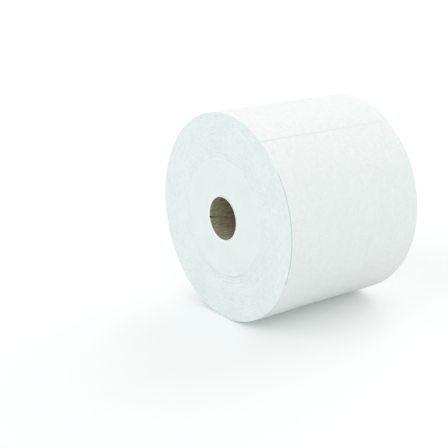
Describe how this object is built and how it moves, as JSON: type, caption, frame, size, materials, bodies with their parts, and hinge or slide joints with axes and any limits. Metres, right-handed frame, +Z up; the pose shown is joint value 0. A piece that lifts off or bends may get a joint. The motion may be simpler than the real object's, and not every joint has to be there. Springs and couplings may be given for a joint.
{
  "type": "toilet paper roll",
  "caption": "Wide cylindrical roll of white toilet tissue wound on a small cardboard tube, lying on its side on a slight flat, its free edge on the upper front.",
  "frame": {"origin": "middle of the cardboard tube's bore, on the roll's axis", "axes": "+Y along the roll's axis from its near end to its far end, +Z up, so the roll lies on its side; +X is the side with the paper's free edge"},
  "size_m": [0.1267, 0.0994, 0.1265],
  "materials": {
    "tissue": "soft matt creped white tissue",
    "core_board": "matt grey-brown recycled board"
  },
  "bodies": {
    "root": {"tissue_web": "tissue", "core_tube": "core_board"}
  },
  "joints": []
}
